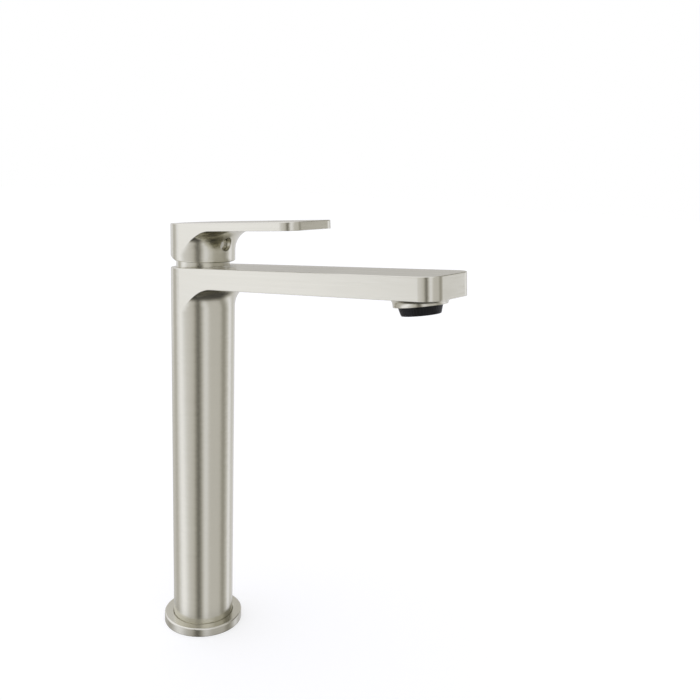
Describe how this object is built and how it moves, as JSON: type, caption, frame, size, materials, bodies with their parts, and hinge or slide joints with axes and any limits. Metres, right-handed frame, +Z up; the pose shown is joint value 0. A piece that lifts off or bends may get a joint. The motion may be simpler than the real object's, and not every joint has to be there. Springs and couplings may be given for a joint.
{
  "type": "basin mixer faucet",
  "caption": "Tall single-lever vessel basin mixer: round column, long flat spout tilted up, flat lever above it, brushed nickel with a black aerator.",
  "frame": {"origin": "centre of the foot's flat face, on the column's axis, in the plane of the basin deck", "axes": "+Z up along the column, -Y towards the front, where spout and lever point, +X to the cold side"},
  "size_m": [0.059, 0.2334, 0.3156],
  "materials": {
    "brushed_nickel": "satin brushed nickel plating",
    "raw_brass": "machined",
    "plain_steel": "drawn",
    "rubber_seal": "matte",
    "white_plastic": "moulded",
    "white_ceramic": "lapped",
    "black_plastic": "fine moulded texture",
    "dark_plastic": "moulded",
    "grey_plastic": "satin"
  },
  "bodies": {
    "faucet_body": {"column_and_spout": "brushed_nickel", "base_flange": "brushed_nickel", "deck_gasket": "rubber_seal", "foot_insert": "raw_brass", "foot_o_ring": "rubber_seal", "hot_riser_tube": "plain_steel", "cold_riser_tube": "plain_steel", "riser_o_rings": "rubber_seal", "cartridge_base": "white_plastic", "inlet_seals": "rubber_seal", "fixed_ceramic_disc": "white_ceramic", "cartridge_shell": "white_plastic", "cartridge_o_ring": "rubber_seal", "cartridge_nut": "raw_brass", "bonnet_ring": "brushed_nickel", "aerator_housing": "black_plastic", "aerator_grid": "dark_plastic", "flow_regulator": "white_plastic", "aerator_washer": "rubber_seal"},
    "turning_stem": {"stem_rotor": "white_plastic", "stem_pin": "plain_steel"},
    "lever": {"handle": "brushed_nickel", "lever_stem": "raw_brass", "handle_set_screw": "plain_steel", "screw_cover_plug": "grey_plastic"},
    "ceramic_slider": {"disc_carrier": "white_plastic", "moving_ceramic_disc": "white_ceramic"}
  },
  "joints": [
    {"name": "handle_turn", "type": "hinge", "parent": "faucet_body", "child": "turning_stem", "pos_m": [0, 0, 0.276], "axis": [0, 0, 1], "range_deg": [-50, 50]},
    {"name": "handle_lift", "type": "hinge", "parent": "turning_stem", "child": "lever", "pos_m": [0, 0, 0.276], "axis": [-1, 0, 0], "range_deg": [0, 25]},
    {"name": "disc_slide", "type": "slide", "parent": "turning_stem", "child": "ceramic_slider", "axis": [0, -1, 0], "range_m": [0, 0.00606]}
  ],
  "couplings": [
    {"joint": "disc_slide", "follows": "handle_lift", "m_per_rad": 0.013889}
  ]
}
